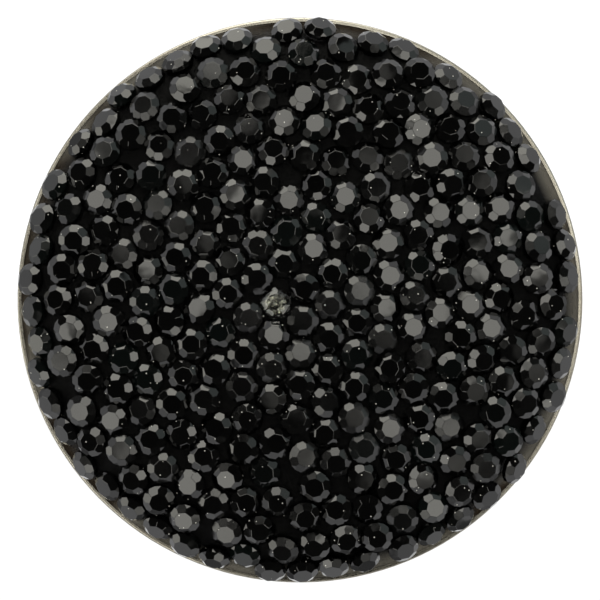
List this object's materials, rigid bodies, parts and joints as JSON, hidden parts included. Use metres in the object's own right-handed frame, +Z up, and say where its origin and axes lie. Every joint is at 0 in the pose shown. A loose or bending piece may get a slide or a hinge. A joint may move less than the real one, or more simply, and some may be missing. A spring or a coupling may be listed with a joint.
{
  "type": "domed stone-set pin badge",
  "caption": "Round domed pin covered in close-set black faceted stones, on a bar pin with a swinging stem and turning safety catch.",
  "frame": {"origin": "centre of the tray's flat back", "axes": "+Y out of the back, towards the wearer; the stone face looks along -Y; +Z up as worn"},
  "size_m": [0.04, 0.013, 0.04],
  "materials": {
    "plated_tray": "polished nickel plate",
    "cast_resin": "cast",
    "black_adhesive": "wet-looking, uneven",
    "black_stone": "polished facets",
    "clear_stone": "polished facets",
    "foil": "crumpled foil",
    "plated_fittings": "nickel plate",
    "stem_wire": "drawn wire, ground point"
  },
  "bodies": {
    "badge": {"rim_tray": "plated_tray", "dome_core": "cast_resin", "setting_bed": "black_adhesive", "accent_stone": "clear_stone", "accent_foil": "foil", "stones_band_1": "black_stone", "stones_band_2": "black_stone", "stones_band_3": "black_stone", "stones_band_4": "black_stone", "stones_band_5": "black_stone", "stones_band_6": "black_stone", "stones_band_7": "black_stone", "stones_band_8": "black_stone", "bar_base": "plated_fittings", "bar_rivets": "plated_fittings", "hinge_rivet": "plated_fittings", "catch_housing": "plated_fittings"},
    "stem": {"pin_stem": "stem_wire"},
    "rotor": {"catch_rotor": "plated_fittings"}
  },
  "joints": [
    {"name": "stem_hinge", "type": "hinge", "parent": "badge", "child": "stem", "pos_m": [0.013, 0.003, 0.005], "axis": [0, 0, -1], "range_deg": [0, 68]},
    {"name": "rotor_turn", "type": "hinge", "parent": "badge", "child": "rotor", "pos_m": [-0.013, 0.003, 0.005], "axis": [-1, 0, 0], "range_deg": [0, 75]}
  ]
}
